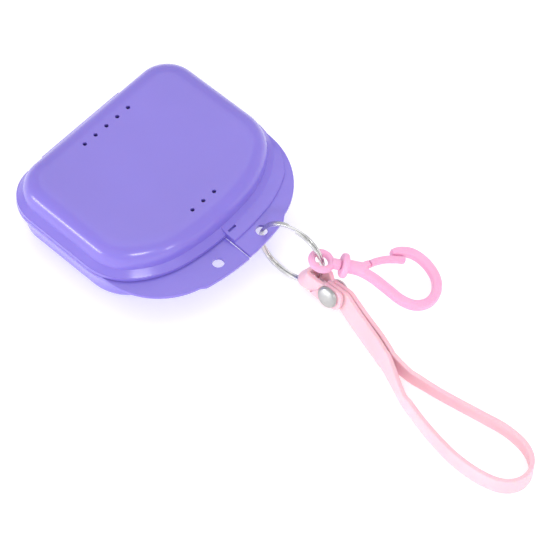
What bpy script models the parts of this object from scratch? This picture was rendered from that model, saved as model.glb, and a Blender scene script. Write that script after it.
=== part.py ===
"""A slim moulded mouthguard case with its mouthguard, split ring, snap hook and wrist strap.

The origin is on the case's underside, midway between its sides and 34 mm in front of its rear wall.
+X runs along the hinge, -Y points to the front tabs and +Z is up. Sizes below are in
millimetres; MM turns them into metres when a mesh is made.
"""

import math

import bpy
from mathutils import Matrix, Vector

MM = 0.001
GAP = 0.3

# Case plan outline at the parting line, from the middle of the rear wall clockwise to the middle
# of the front: (kind, length or radius, turn in degrees, steps).
REAR_Y = 34.0
OUTLINE = (
    ("line", 26.5, 0, 2),
    ("arc", 14.0, 89, 7),
    ("line", 27.2, 0, 2),
    ("arc", 20.0, 51, 5),
    ("arc", 36.3, 30, 4),
    ("arc", 96.0, 10, 4),
)

# Case heights and walls.
PARTING_Z = 16.0
LID_TOP_Z = 28.0
WALL = 1.6
RIM_LIP = 0.25
UPSTAND_HEIGHT = 1.9
UPSTAND_THICKNESS = 1.2
BASE_TAPER = 2.9
BASE_FILLET = 6.0
LID_TAPER = 2.0
LID_FILLET = 8.0
PLATE_MARGIN = 0.8

# The crescent flange at the front, split at X = 0 into the base's tab and the lid's tab.
FLANGE_FRONT_Y = -43.7
FLANGE_FRONT_R = 85.0
FLANGE_CORNER_R = 26.7
FLANGE_CORNER = (13.6, -14.4)
TAB_THICKNESS = 1.4
TAB_SPLIT = 0.15
TAB_SPLIT_FAR = 0.25
LID_TAB_DROP = 1.2
LEDGE_WIDTH = 4.4
LEDGE_RISE = 1.0
LID_TAB_HOLE = (10.3, -39.3)
BASE_TAB_HOLE = (-8.9, -37.5)
TAB_HOLE_R = 2.1

# Vent holes in the lid top.
VENT_R = 0.7
VENT_PITCH = 5.25
VENT_ROWS = ((5, 23.0), (3, -22.1))

# Hinge.
HINGE_Y = 34.9
HINGE_Z = 12.6
HINGE_R = 1.4
BARREL_HALF = 18.6
EAR_INNER = 19.0
EAR_OUTER = 22.8
PEG_R = 0.65
PEG_LENGTH = 2.9
PEG_BORE_R = 0.95
APRON_INNER_Y = REAR_Y + 0.5
APRON_OUTER_Y = REAR_Y + 1.6
APRON_TOP_Z = PARTING_Z + 2.3

# Mouthguard.
GUARD_FLOOR_Z = WALL + GAP
ARCH_HALF_WIDTH = 25.0
ARCH_DEPTH = 25.0
ARCH_CENTRE_Y = 7.0
ARCH_LEG_Y = 20.5
GUARD_FRONT_HEIGHT = 15.0
GUARD_REAR_HEIGHT = 11.0
FRENUM_NOTCH = 3.0

# Split ring.
RING_R = 12.3
RING_CENTRE = Vector((12.34, -51.39, 13.83))
RING_NORMAL = Vector((-0.983, -0.172, 0.064)).normalized()
WIRE_WIDTH = 0.85
WIRE_DEPTH = 1.15
TURN_PITCH = 1.0
RING_STEPS = 34

# Snap hook: the eye sits on the ring at HOOK_ANGLE above its foremost point.
HOOK_ANGLE = 17.0
HOOK_YAW = -47.0
HOOK_PITCH = -18.4
EYE_R = 3.5
EYE_WIRE_R = 1.2
PIN_R = 1.0
PIN_HEAD_R = 1.35
PIN_END = 13.0
COLLAR_START = 6.9
COLLAR_END = 9.1
COLLAR_R = 4.3
NECK_R = 2.4
NECK_END = 14.6
HOOK_BAND = 3.5
HOOK_THICKNESS = 3.2
GATE_BAND = 2.2
GATE_HINGE = (16.6, 2.5)

# Wrist strap: a flat band, folded on the ring at STRAP_ANGLE below its foremost point.
STRAP_WIDTH = 7.6
STRAP_THICKNESS = 1.6
LAYER = STRAP_THICKNESS + GAP
STRAP_ANGLE = -33.0
RIVET_MIDDLE = Vector((13.55, -69.3, 5.8))
RIVET_ALONG = Vector((0.05, -0.999, 0.0)).normalized()
RIVET_LEAN = 20.0
FOLD_WIDTH = Vector((0.12, -0.53, 0.84)).normalized()
FOLD_POCKET = 2.6
FOLD_BACK = 1.75
FOLD_MOUTH = 4.0
RIVET_CAP_R = 3.9
RIVET_CAP_HEIGHT = 1.2
RIVET_POST_R = 1.3
RIVET_HOLE_R = 1.65


def clear_scene():
    for thing in list(bpy.data.objects):
        bpy.data.objects.remove(thing, do_unlink=True)


def material(name, colour, roughness, metallic=0.0):
    made = bpy.data.materials.new(name)
    made.use_nodes = True
    shader = made.node_tree.nodes["Principled BSDF"]
    shader.inputs["Base Color"].default_value = (*colour, 1.0)
    shader.inputs["Roughness"].default_value = roughness
    shader.inputs["Metallic"].default_value = metallic
    return made


def mesh_object(name, points, faces, look=None, origin=(0.0, 0.0, 0.0)):
    """An object from points in millimetres, with its own origin at a joint's axis."""
    start = Vector(origin)
    mesh = bpy.data.meshes.new(name)
    mesh.from_pydata([(Vector(p) - start) * MM for p in points], [], faces)
    mesh.update()
    made = bpy.data.objects.new(name, mesh)
    made.location = start * MM
    bpy.context.collection.objects.link(made)
    if look:
        mesh.materials.append(look)
        mesh.shade_smooth()
        mesh.set_sharp_from_angle(angle=math.radians(40))
    return made


def skin(sections, closed=False, first=0):
    """Quads between successive loops of points; end loops are capped unless the body is closed."""
    count = len(sections[0])
    points = [p for section in sections for p in section]
    faces = []
    last = len(sections) if closed else len(sections) - 1
    for i in range(last):
        a, b = i * count, (i + 1) % len(sections) * count
        for k in range(count):
            n = (k + 1) % count
            faces.append((first + a + k, first + a + n, first + b + n, first + b + k))
    if not closed:
        faces.append(tuple(first + k for k in reversed(range(count))))
        faces.append(tuple(first + (len(sections) - 1) * count + k for k in range(count)))
    return points, faces


def solid(name, sections, look=None, closed=False, origin=(0.0, 0.0, 0.0)):
    points, faces = skin(sections, closed)
    return mesh_object(name, points, faces, look, origin)


def cylinder(start, end, radius, sides=16):
    """The two end loops of a cylinder, for skin()."""
    start, end = Vector(start), Vector(end)
    axis = (end - start).normalized()
    across = axis.orthogonal().normalized()
    other = axis.cross(across)
    loops = []
    for middle in (start, end):
        turns = [2 * math.pi * k / sides for k in range(sides)]
        loops.append([middle + radius * (math.cos(t) * across + math.sin(t) * other) for t in turns])
    return loops


def turned(start, axis, profile, sides=20):
    """Loops of a turned body: profile is (distance along the axis, radius) pairs."""
    axis = Vector(axis).normalized()
    across = axis.orthogonal().normalized()
    other = axis.cross(across)
    loops = []
    for along, radius in profile:
        middle = Vector(start) + axis * along
        turns = [2 * math.pi * k / sides for k in range(sides)]
        loops.append([middle + radius * (math.cos(t) * across + math.sin(t) * other) for t in turns])
    return loops


def boolean(target, tool, operation):
    tool.hide_render = True
    tool.display_type = "WIRE"
    step = target.modifiers.new(tool.name, "BOOLEAN")
    step.operation = operation
    step.object = tool


def smooth_line(points, steps):
    """A Catmull-Rom curve through the points, each a tuple of any length."""
    points = [Vector(p) for p in points]
    ends = [2 * points[0] - points[1], *points, 2 * points[-1] - points[-2]]
    line = []
    for i in range(1, len(ends) - 2):
        a, b, c, d = ends[i - 1 : i + 3]
        for k in range(steps):
            t = k / steps
            line.append(
                0.5 * (2 * b + (c - a) * t + (2 * a - 5 * b + 4 * c - d) * t**2
                       + (3 * b - a - 3 * c + d) * t**3)
            )
    line.append(points[-1])
    return line


# ---------------------------------------------------------------- case


def case_stations():
    """Points round the outline with their outward normals, the front pair on either side of X = 0."""
    x, y, turned_by = 0.0, REAR_Y, 0.0
    half = [(x, y, turned_by)]
    for kind, size, turn, steps in OUTLINE:
        for _ in range(steps):
            step = math.radians(turn) / steps
            length = size / steps if kind == "line" else 2 * size * math.sin(step / 2)
            heading = turned_by + step / 2
            x += length * math.cos(heading)
            y -= length * math.sin(heading)
            turned_by += step
            half.append((x, y, turned_by))
    half[-1] = (TAB_SPLIT, half[-1][1], math.pi)
    half.insert(-1, (TAB_SPLIT_FAR, half[-1][1], math.pi))
    right = [(Vector((px, py)), Vector((math.sin(h), math.cos(h)))) for px, py, h in half]
    left = [(Vector((-p.x, p.y)), Vector((-n.x, n.y))) for p, n in reversed(right[1:])]
    return right + left


def circle_hit(point, normal, centre, radius):
    away = point - Vector(centre)
    along = away.dot(normal)
    return -along + math.sqrt(max(0.0, along * along - away.length_squared + radius * radius))


def flange_reach(point, normal):
    """How far the crescent flange stands out from the wall at a station."""
    if point.y > 0:
        return RIM_LIP
    mirrored = Vector((abs(point.x), point.y))
    outward = Vector((abs(normal.x), normal.y))
    front_centre_y = FLANGE_FRONT_Y + FLANGE_FRONT_R
    front = circle_hit(mirrored, outward, (0, front_centre_y), FLANGE_FRONT_R)
    join_x = FLANGE_FRONT_R * FLANGE_CORNER[0] / (FLANGE_FRONT_R - FLANGE_CORNER_R)
    if (mirrored + outward * front).x < join_x:
        return front
    return max(RIM_LIP, circle_hit(mirrored, outward, FLANGE_CORNER, FLANGE_CORNER_R))


def fillet(inset, top, radius, direction, steps):
    """(inset, z) points round a quarter turn from a wall into a flat face."""
    points = []
    for k in range(steps + 1):
        t = math.pi / 2 * k / steps
        points.append((inset + radius * (1 - math.cos(t)),
                       top - direction * radius * (1 - math.sin(t))))
    return points


def base_profile(point, normal):
    tab = flange_reach(point, normal) if point.x < -TAB_SPLIT_FAR + 0.01 else RIM_LIP
    under = PARTING_Z - TAB_THICKNESS
    floor_in = BASE_TAPER + BASE_FILLET
    outer = [(inset, z) for inset, z in reversed(fillet(BASE_TAPER, 0.0, BASE_FILLET, -1, 4))]
    inner = fillet(BASE_TAPER + WALL, WALL, BASE_FILLET - WALL, -1, 3)
    upstand = WALL + GAP + UPSTAND_THICKNESS
    return [
        (floor_in + PLATE_MARGIN, 0.0),
        *outer,
        (0.25, under),
        (-tab + 0.15, under),
        (-tab, under + 0.2),
        (-tab, PARTING_Z - 0.2),
        (-tab + 0.15, PARTING_Z),
        (WALL + GAP, PARTING_Z),
        (WALL + GAP, PARTING_Z + UPSTAND_HEIGHT),
        (upstand, PARTING_Z + UPSTAND_HEIGHT),
        (upstand, PARTING_Z - 1.0),
        *inner,
        (floor_in + PLATE_MARGIN, WALL),
    ]


def lid_profile(point, normal):
    bottom = PARTING_Z + GAP
    has_tab = point.x > TAB_SPLIT_FAR - 0.01
    tab = flange_reach(point, normal) if has_tab else RIM_LIP
    ledge = min(LEDGE_WIDTH, 0.6 * tab)
    drop = LID_TAB_DROP * min(1.0, tab / 12.0)
    rise = LEDGE_RISE * min(1.0, tab / 3.0)
    inner_edge = min(1.2, 0.5 * tab)
    tab_top = bottom + TAB_THICKNESS
    ceiling = LID_TOP_Z - WALL
    outer = fillet(LID_TAPER, LID_TOP_Z, LID_FILLET, 1, 7)
    inner = fillet(LID_TAPER + WALL, ceiling, LID_FILLET - WALL, 1, 4)
    plate_in = LID_TAPER + LID_FILLET + PLATE_MARGIN
    return [
        (WALL, bottom + UPSTAND_HEIGHT + GAP),
        (WALL, bottom),
        (-inner_edge, bottom),
        (-tab + 0.12, bottom - drop),
        (-tab, bottom - drop + 0.2),
        (-tab, tab_top - drop - 0.2),
        (-tab + 0.12, tab_top - drop),
        (-ledge - 0.05, tab_top - drop * ledge / tab),
        (-ledge, tab_top + rise - drop * ledge / tab),
        (0.02, tab_top + rise),
        *outer,
        (plate_in, LID_TOP_Z),
        (plate_in, ceiling),
        *reversed(inner),
    ]


def close_shell(name, stations, profile, look):
    """Lofts a profile round the outline and fills the flat face and its inside with two discs."""
    profiles = [profile(point, normal) for point, normal in stations]
    count = len(profiles[0])
    points, faces = [], []
    for (point, normal), line in zip(stations, profiles):
        points += [(*(point - normal * inset), z) for inset, z in line]
    total = len(stations)
    flat = next(k for k in range(count) if line_is_flat(profiles[0], k))
    for i in range(total):
        a, b = i * count, (i + 1) % total * count
        for k in range(count):
            n = (k + 1) % count
            if k != flat:
                faces.append((a + k, a + n, b + n, b + k))
    outer = [i * count + flat for i in range(total)]
    inner = [i * count + (flat + 1) % count for i in range(total)]
    add_disc(points, faces, outer, flip=True)
    add_disc(points, faces, inner, flip=False)
    return mesh_object(name, points, faces, look)


def line_is_flat(line, k):
    """Whether a profile steps from the outside of the flat plate to its inside at this point."""
    here, there = line[k], line[(k + 1) % len(line)]
    return abs(here[0] - there[0]) < 1e-6 and abs(abs(here[1] - there[1]) - WALL) < 1e-6


def add_disc(points, faces, loop, flip):
    """Fills a loop with a fan to its middle."""
    middle = sum((Vector(points[i]) for i in loop), Vector((0, 0, 0))) / len(loop)
    points.append(tuple(middle))
    hub = len(points) - 1
    for i, start in enumerate(loop):
        end = loop[(i + 1) % len(loop)]
        faces.append((end, start, hub) if flip else (start, end, hub))


def ear_outline():
    """(y, z) points of a base ear: round the hinge axis, with a web into the base's wall."""
    outline = []
    for k in range(15):
        turn = math.pi * (-0.5 + 1.0 * k / 14)
        outline.append((HINGE_Y + HINGE_R * math.cos(turn), HINGE_Z + HINGE_R * math.sin(turn)))
    return outline + [(REAR_Y - 1.3, HINGE_Z + HINGE_R), (REAR_Y - 1.8, HINGE_Z - HINGE_R)]


def barrel_outline():
    """(y, z) points of the lid's barrel: round the hinge axis, with an apron up to the lid's rim."""
    outline = []
    for k in range(17):
        turn = math.pi * (-1.45 + 1.55 * k / 16)
        outline.append((HINGE_Y + HINGE_R * math.cos(turn), HINGE_Z + HINGE_R * math.sin(turn)))
    return outline + [
        (APRON_OUTER_Y, APRON_TOP_Z - 1.6),
        (REAR_Y - 0.4, APRON_TOP_Z),
        (REAR_Y - 0.8, APRON_TOP_Z - 0.5),
        (REAR_Y - 0.8, PARTING_Z + GAP + 0.1),
        (APRON_INNER_Y, PARTING_Z + GAP + 0.1),
    ]


def knuckle(name, outline, start, end):
    """A bar along X with the outline as its section."""
    return solid(name, [[(x, y, z) for y, z in outline] for x in (start, end)])


def case_base(look):
    stations = case_stations()
    base = close_shell("case_base", stations, base_profile, look)
    for side in (-1, 1):
        ends = sorted((side * EAR_INNER, side * EAR_OUTER))
        ear = knuckle(f"ear_{side}", ear_outline(), *ends)
        boolean(base, ear, "UNION")
        bore = cylinder((side * (EAR_INNER - 1), HINGE_Y, HINGE_Z),
                        (side * (EAR_INNER + PEG_LENGTH), HINGE_Y, HINGE_Z), PEG_BORE_R)
        boolean(base, solid(f"peg_bore_{side}", bore), "DIFFERENCE")
    x, y = BASE_TAB_HOLE
    hole = cylinder((x, y, PARTING_Z - 5), (x, y, PARTING_Z + 5), TAB_HOLE_R)
    boolean(base, solid("base_tab_hole", hole), "DIFFERENCE")
    return base


def vent_cutter():
    points, faces = [], []
    for count, y in VENT_ROWS:
        for k in range(count):
            x = (k - (count - 1) / 2) * VENT_PITCH
            loops = cylinder((x, y, LID_TOP_Z - 2 * WALL), (x, y, LID_TOP_Z + 1), VENT_R, 10)
            more, sides = skin(loops, first=len(points))
            points += more
            faces += sides
    return mesh_object("vent_cutter", points, faces)


def case_lid(look):
    stations = case_stations()
    lid = close_shell("case_lid", stations, lid_profile, look)
    barrel = knuckle("barrel", barrel_outline(), -BARREL_HALF, BARREL_HALF)
    boolean(lid, barrel, "UNION")
    for side in (-1, 1):
        peg = cylinder((side * (BARREL_HALF - 1), HINGE_Y, HINGE_Z),
                       (side * (BARREL_HALF + PEG_LENGTH), HINGE_Y, HINGE_Z), PEG_R)
        boolean(lid, solid(f"peg_{side}", peg), "UNION")
    x, y = LID_TAB_HOLE
    hole = cylinder((x, y, PARTING_Z - 5), (x, y, PARTING_Z + 5), TAB_HOLE_R)
    boolean(lid, solid("lid_tab_hole", hole), "DIFFERENCE")
    boolean(lid, vent_cutter(), "DIFFERENCE")
    return lid


# ---------------------------------------------------------------- mouthguard


def guard_section(height, notch):
    """(outward, up) points of the channel that the teeth sit in."""
    inner = height - 5.0
    return [
        (-5.2, 0.0), (5.0, 0.0), (6.3, 1.6), (6.0, height - notch - 1.2),
        (5.0, height - notch), (3.6, height - notch - 0.8), (3.1, 4.0), (2.2, 3.2),
        (-2.8, 3.2), (-3.7, 4.0), (-4.1, inner - 0.7), (-4.9, inner), (-5.9, inner - 0.9),
        (-6.3, 1.4),
    ]


def mouthguard(look):
    stations = []
    for k in range(3):
        stations.append((Vector((ARCH_HALF_WIDTH, ARCH_LEG_Y - 4.5 * k)), Vector((1, 0))))
    for k in range(21):
        turn = math.pi * k / 20
        point = Vector((ARCH_HALF_WIDTH * math.cos(turn), ARCH_CENTRE_Y - ARCH_DEPTH * math.sin(turn)))
        stations.append((point, Vector((math.cos(turn), -math.sin(turn)))))
    for k in reversed(range(3)):
        stations.append((Vector((-ARCH_HALF_WIDTH, ARCH_LEG_Y - 4.5 * k)), Vector((-1, 0))))
    sections = []
    for point, outward in stations:
        forward = max(0.0, min(1.0, (ARCH_LEG_Y - point.y) / 30.0))
        height = GUARD_REAR_HEIGHT + (GUARD_FRONT_HEIGHT - GUARD_REAR_HEIGHT) * forward
        notch = FRENUM_NOTCH * math.exp(-((point.x / 4.0) ** 2)) if point.y < 0 else 0.0
        section = guard_section(height, notch)
        sections.append([(*(point + outward * o), GUARD_FLOOR_Z + z) for o, z in section])
    return solid("mouthguard", sections, look)


# ---------------------------------------------------------------- split ring


def ring_axes():
    forward = Vector((0, 0, 1)).cross(RING_NORMAL).normalized()
    if forward.y > 0:
        forward.negate()
    up = forward.cross(RING_NORMAL).normalized()
    if up.z < 0:
        up.negate()
    return forward, up


def on_ring(angle, radius=RING_R):
    """A point of the ring, its outward direction and its tangent, at degrees above the front."""
    forward, up = ring_axes()
    turn = math.radians(angle)
    out = math.cos(turn) * forward + math.sin(turn) * up
    tangent = -math.sin(turn) * forward + math.cos(turn) * up
    return RING_CENTRE + radius * out, out, tangent


def split_ring(look):
    """Two flat turns side by side, joined by a short slanting step."""
    sections = []
    start = 100.0
    for k in range(2 * RING_STEPS):
        angle = start + 352.0 * 2 * k / (2 * RING_STEPS - 1)
        turns = (angle - start) / 360.0
        step = max(-0.5, min(0.5, (turns - 1.0) * 5.0))
        middle, out, _ = on_ring(angle)
        middle = middle + RING_NORMAL * step * TURN_PITCH
        w, d = WIRE_WIDTH / 2, WIRE_DEPTH / 2
        corners = ((-w, -d), (w, -d), (w, d), (-w, d))
        sections.append([middle + RING_NORMAL * a + out * b for a, b in corners])
    return solid("split_ring", sections, look, origin=RING_CENTRE)


# ---------------------------------------------------------------- snap hook


def hook_frame():
    """Where the hook's own axes lie: X along it, Y across it and Z out of its plane."""
    middle, _, _ = on_ring(HOOK_ANGLE)
    turn = Matrix.Rotation(math.radians(HOOK_YAW), 4, "Z")
    tilt = Matrix.Rotation(math.radians(-HOOK_PITCH), 4, "Y")
    return Matrix.Translation(middle) @ turn @ tilt


def placed(loops):
    frame = hook_frame()
    return [[frame @ Vector(p) for p in loop] for loop in loops]


def flat_band(route, widths, thickness, chamfer):
    """Loops of a band lying in the hook's plane along route, with eight-sided sections."""
    route = [Vector(p) for p in route]
    loops = []
    for i, point in enumerate(route):
        before, after = route[max(0, i - 1)], route[min(len(route) - 1, i + 1)]
        along = (after - before).normalized()
        across = Vector((-along.y, along.x))
        w, t, c = widths[i] / 2, thickness / 2, chamfer
        section = ((-w, t - c), (-w, c - t), (c - w, -t), (w - c, -t),
                   (w, c - t), (w, t - c), (w - c, t), (c - w, t))
        loops.append([(*(point + across * a), b) for a, b in section])
    return loops


def hook_eye(look):
    """A ring with a headed pin that turns in the hook's neck."""
    around, across = 24, 8
    sections = []
    for k in range(around):
        turn = 2 * math.pi * k / around
        out = Vector((math.cos(turn), math.sin(turn), 0))
        loop = []
        for n in range(across):
            angle = 2 * math.pi * n / across
            flat = 1.15 if abs(math.sin(angle)) > 0.5 else 1.0
            loop.append(out * (EYE_R + EYE_WIRE_R * math.cos(angle))
                        + Vector((0, 0, EYE_WIRE_R * flat * math.sin(angle))))
        sections.append(loop)
    middle, _, _ = on_ring(HOOK_ANGLE)
    eye = solid("hook_eye", placed(sections), look, closed=True, origin=middle)
    pin = turned((0, 0, 0), (1, 0, 0), (
        (EYE_R, 1.9), (COLLAR_START - GAP, 1.9), (COLLAR_START - GAP, PIN_R),
        (PIN_END - 2.0, PIN_R), (PIN_END - 2.0, PIN_HEAD_R), (PIN_END - 1.2, PIN_HEAD_R),
        (PIN_END - 0.4, PIN_R * 0.7),
    ), 14)
    stem = solid("eye_stem", placed(pin))
    stem.location = (0, 0, 0)
    boolean(eye, stem, "UNION")
    return eye


LOOP_ROUTE = (
    (12.5, -0.6), (15.5, -1.5), (19.0, -3.2), (23.5, -6.3), (28.5, -9.6), (33.5, -10.5),
    (38.1, -8.1), (40.7, -3.1), (40.4, 2.4), (37.2, 7.4), (32.5, 10.4), (27.8, 10.3), (24.6, 9.0),
)
GATE_ROUTE = ((17.1, 2.8), (19.6, 4.4), (22.8, 5.9), (26.2, 6.7), (29.4, 7.1))


def hook_body(look):
    """Collar, neck and loop in one moulding, with a chambered bore for the eye's pin."""
    route = smooth_line(LOOP_ROUTE, 2)
    widths = [HOOK_BAND] * (len(route) - 3) + [3.1, 2.6, 1.8]
    middle = hook_frame() @ Vector((COLLAR_START, 0, 0))
    body = solid("hook_body", placed(flat_band(route, widths, HOOK_THICKNESS, 0.8)), look,
                 origin=middle)
    neck = turned((0, 0, 0), (1, 0, 0), (
        (COLLAR_START, COLLAR_R - 0.4), (COLLAR_START + 0.4, COLLAR_R), (COLLAR_END - 0.4, COLLAR_R),
        (COLLAR_END, COLLAR_R - 0.4), (COLLAR_END, NECK_R), (NECK_END, NECK_R),
        (NECK_END + 1.3, NECK_R - 0.9),
    ), 18)
    boolean(body, solid("neck", placed(neck)), "UNION")
    stub_route = ((12.0, 0.7), (14.4, 1.2), (16.5, 2.42))
    stub = flat_band(stub_route, (2.4, 2.4, GATE_BAND), HOOK_THICKNESS - 0.6, 0.5)
    boolean(body, solid("gate_root", placed(stub)), "UNION")
    bore = turned((0, 0, 0), (1, 0, 0), (
        (COLLAR_START - 1, PIN_R + GAP), (PIN_END - 2.3, PIN_R + GAP),
        (PIN_END - 2.3, PIN_HEAD_R + GAP), (PIN_END, PIN_HEAD_R + GAP),
    ), 14)
    boolean(body, solid("pin_bore", placed(bore)), "DIFFERENCE")
    return body


def hook_gate(look):
    route = smooth_line(GATE_ROUTE, 2)
    widths = [GATE_BAND] * (len(route) - 2) + [1.8, 1.3]
    pivot = hook_frame() @ Vector((*GATE_HINGE, 0))
    loops = placed(flat_band(route, widths, HOOK_THICKNESS - 0.6, 0.5))
    return solid("hook_gate", loops, look, origin=pivot)


# ---------------------------------------------------------------- strap and rivet

# Middle of the doubled strap from the rivet to where its two arms part: (x, y, z, lean of both arms
# and extra lean of the left arm, in degrees).
DOUBLE_ROUTE = (
    (12.7, -83.3, 4.1, 15, 6), (10.2, -93.3, 4.1, 10, 12), (7.4, -102.3, 4.1, 4, 12),
)
# Middle of the single band round the loop, from the right arm to the left arm.
LOOP_BAND = (
    (7.7, -110.3, 4.05, -4), (9.2, -123.5, 4.05, -9), (12.1, -140.0, 4.05, -9),
    (13.5, -149.7, 4.05, -6), (12.4, -159.3, 4.05, 0), (8.2, -165.5, 4.05, 5),
    (1.8, -167.2, 4.05, 5), (-3.6, -163.6, 4.05, 3), (-6.4, -155.3, 4.05, 0),
    (-6.8, -143.3, 4.05, -2), (-4.4, -128.6, 4.05, -2), (-0.6, -114.7, 4.05, 0),
)


def leaning(along, lean):
    """The band's upward edge direction and its left face normal, for a run along a direction."""
    along = along.normalized()
    side = Vector((-along.y, along.x, 0)).normalized()
    up = side.cross(along).normalized()
    if up.z < 0:
        up.negate()
    turn = math.radians(lean)
    width = math.cos(turn) * up + math.sin(turn) * side
    return width, side


def rivet_frame():
    """The middle of the rivet's stack, the strap's direction, its width and its outer normal."""
    width, _ = leaning(RIVET_ALONG, RIVET_LEAN)
    return RIVET_MIDDLE, RIVET_ALONG, width, facing_left(width.cross(RIVET_ALONG))


def facing_left(normal):
    """A unit normal turned, if need be, to the -X side."""
    return normal.normalized() * (1 if normal.x < 0 else -1)


def strap_path():
    """(middle, width direction) pairs along the band, from the short tab to the inner end."""
    rivet, along, width, outward = rivet_frame()
    wire, _, _ = on_ring(STRAP_ANGLE)
    fold = wire - along * FOLD_BACK
    mouth = fold + along * FOLD_MOUTH
    fold_out = facing_left(Vector((0, 0, 1)).cross(along))
    path = [(rivet + along * reach + outward * LAYER, width) for reach in (5.2, 2.6, 0.0, -4.2)]
    path.append((mouth + fold_out * FOLD_POCKET, FOLD_WIDTH))
    for k in range(7):
        turn = math.pi * k / 6
        side = fold_out * math.cos(turn) - along * math.sin(turn)
        path.append((fold + side * FOLD_POCKET, FOLD_WIDTH))
    path.append((mouth - fold_out * FOLD_POCKET, FOLD_WIDTH))
    path += [(rivet + along * reach - outward * LAYER, width) for reach in (-4.2, 0.0, 2.6)]
    double = double_line()
    path += [(spot - face * LAYER / 2, edge) for spot, edge, face, _ in double]
    path += single_line()
    for spot, edge, face, splay in reversed(double):
        lean_out = face * STRAP_WIDTH / 2 * math.sin(splay)
        path.append((spot + face * LAYER / 2 + lean_out, edge * math.cos(splay) - face * math.sin(splay)))
    path += [(rivet + along * reach, width) for reach in (2.6, 0.0, -2.9)]
    return path


def double_line():
    """(middle, width direction, left face normal, left arm's extra lean) along the doubled run."""
    rivet, along, width, outward = rivet_frame()
    route = [Vector((*(rivet - outward * LAYER / 2 + along * 5.0), RIVET_LEAN, 0))]
    route += [Vector(p) for p in DOUBLE_ROUTE]
    line = smooth_line(route, 3)
    made = []
    for i, spot in enumerate(line):
        ahead = line[min(i + 1, len(line) - 1)].to_3d() - line[max(i - 1, 0)].to_3d()
        edge, _ = leaning(ahead, spot[3])
        made.append((spot.to_3d(), edge, facing_left(edge.cross(ahead)), math.radians(spot[4])))
    return made


def single_line():
    line = smooth_line(LOOP_BAND, 3)
    made = []
    for i, spot in enumerate(line):
        ahead = line[min(i + 1, len(line) - 1)].to_3d() - line[max(i - 1, 0)].to_3d()
        lean = spot[3]
        edge, _ = leaning(ahead, lean)
        made.append((spot.to_3d(), edge))
    return made


def wrist_strap(look):
    path = strap_path()
    sections = []
    for i, (spot, edge) in enumerate(path):
        before, after = path[max(i - 1, 0)][0], path[min(i + 1, len(path) - 1)][0]
        along = (after - before).normalized()
        edge = (edge - along * edge.dot(along)).normalized()
        face = along.cross(edge).normalized()
        w, t = STRAP_WIDTH / 2, STRAP_THICKNESS / 2
        corners = ((-w, -t), (w, -t), (w, t), (-w, t))
        sections.append([spot + edge * a + face * b for a, b in corners])
    wire, _, _ = on_ring(STRAP_ANGLE)
    strap = solid("wrist_strap", sections, look, origin=wire)
    rivet, _, _, outward = rivet_frame()
    hole = cylinder(rivet - outward * 6, rivet + outward * 6, RIVET_HOLE_R, 12)
    boolean(strap, solid("rivet_hole", hole), "DIFFERENCE")
    return strap


def rivet_cap(look):
    rivet, _, _, outward = rivet_frame()
    front = 1.5 * LAYER + GAP / 2
    profile = (
        (-front - 0.9, RIVET_POST_R - 0.3), (-front - 0.6, RIVET_POST_R), (front, RIVET_POST_R),
        (front, RIVET_CAP_R - 0.25), (front + 0.25, RIVET_CAP_R), (front + 0.55, RIVET_CAP_R - 0.2),
        (front + 0.95, RIVET_CAP_R - 1.3), (front + RIVET_CAP_HEIGHT, RIVET_CAP_R - 3.0),
    )
    return solid("rivet_cap", turned(rivet, outward, profile, 20), look, origin=rivet)


def rivet_back(look):
    """A washer with a rolled edge on the post's far end."""
    rivet, _, _, outward = rivet_frame()
    back = 1.5 * LAYER + GAP / 2
    profile = (
        (back, RIVET_POST_R + GAP), (back, 3.6), (back + 0.25, 3.9), (back + 0.6, 3.8),
        (back + 0.9, 3.2), (back + 0.9, RIVET_POST_R + GAP),
    )
    loops = turned(rivet, -outward, profile, 20)
    return solid("rivet_back", loops, look, closed=True, origin=rivet)


def main():
    clear_scene()
    violet = material("violet_moulding", (0.34, 0.27, 0.80), 0.3)
    violet_lid = material("violet_lid_moulding", (0.34, 0.27, 0.80), 0.28)
    clear_guard = material("guard_eva", (0.86, 0.90, 0.95), 0.45)
    steel = material("ring_steel", (0.62, 0.62, 0.60), 0.3, 1.0)
    cap_steel = material("rivet_steel", (0.70, 0.70, 0.69), 0.28, 1.0)
    back_steel = material("rivet_back_steel", (0.66, 0.66, 0.65), 0.35, 1.0)
    pink = material("hook_pink", (1.0, 0.46, 0.76), 0.4)
    eye_pink = material("eye_pink", (1.0, 0.44, 0.74), 0.4)
    gate_pink = material("gate_pink", (1.0, 0.47, 0.77), 0.4)
    pale_pink = material("strap_pink", (0.98, 0.68, 0.80), 0.55)
    case_base(violet)
    case_lid(violet_lid)
    mouthguard(clear_guard)
    split_ring(steel)
    hook_eye(eye_pink)
    hook_body(pink)
    hook_gate(gate_pink)
    wrist_strap(pale_pink)
    rivet_cap(cap_steel)
    rivet_back(back_steel)


main()
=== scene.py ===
"""Looks for a violet mouthguard case with its mouthguard, split ring, snap hook and wrist strap.

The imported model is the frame. Its nodes keep the collision, and each is stood for here by a finer
piece on the same body. Shapes are worked out in millimetres in the frame's own axes, and MM turns
them into metres when a mesh is made.
"""

import math

import bpy
from mathutils import Matrix, Vector


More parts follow.
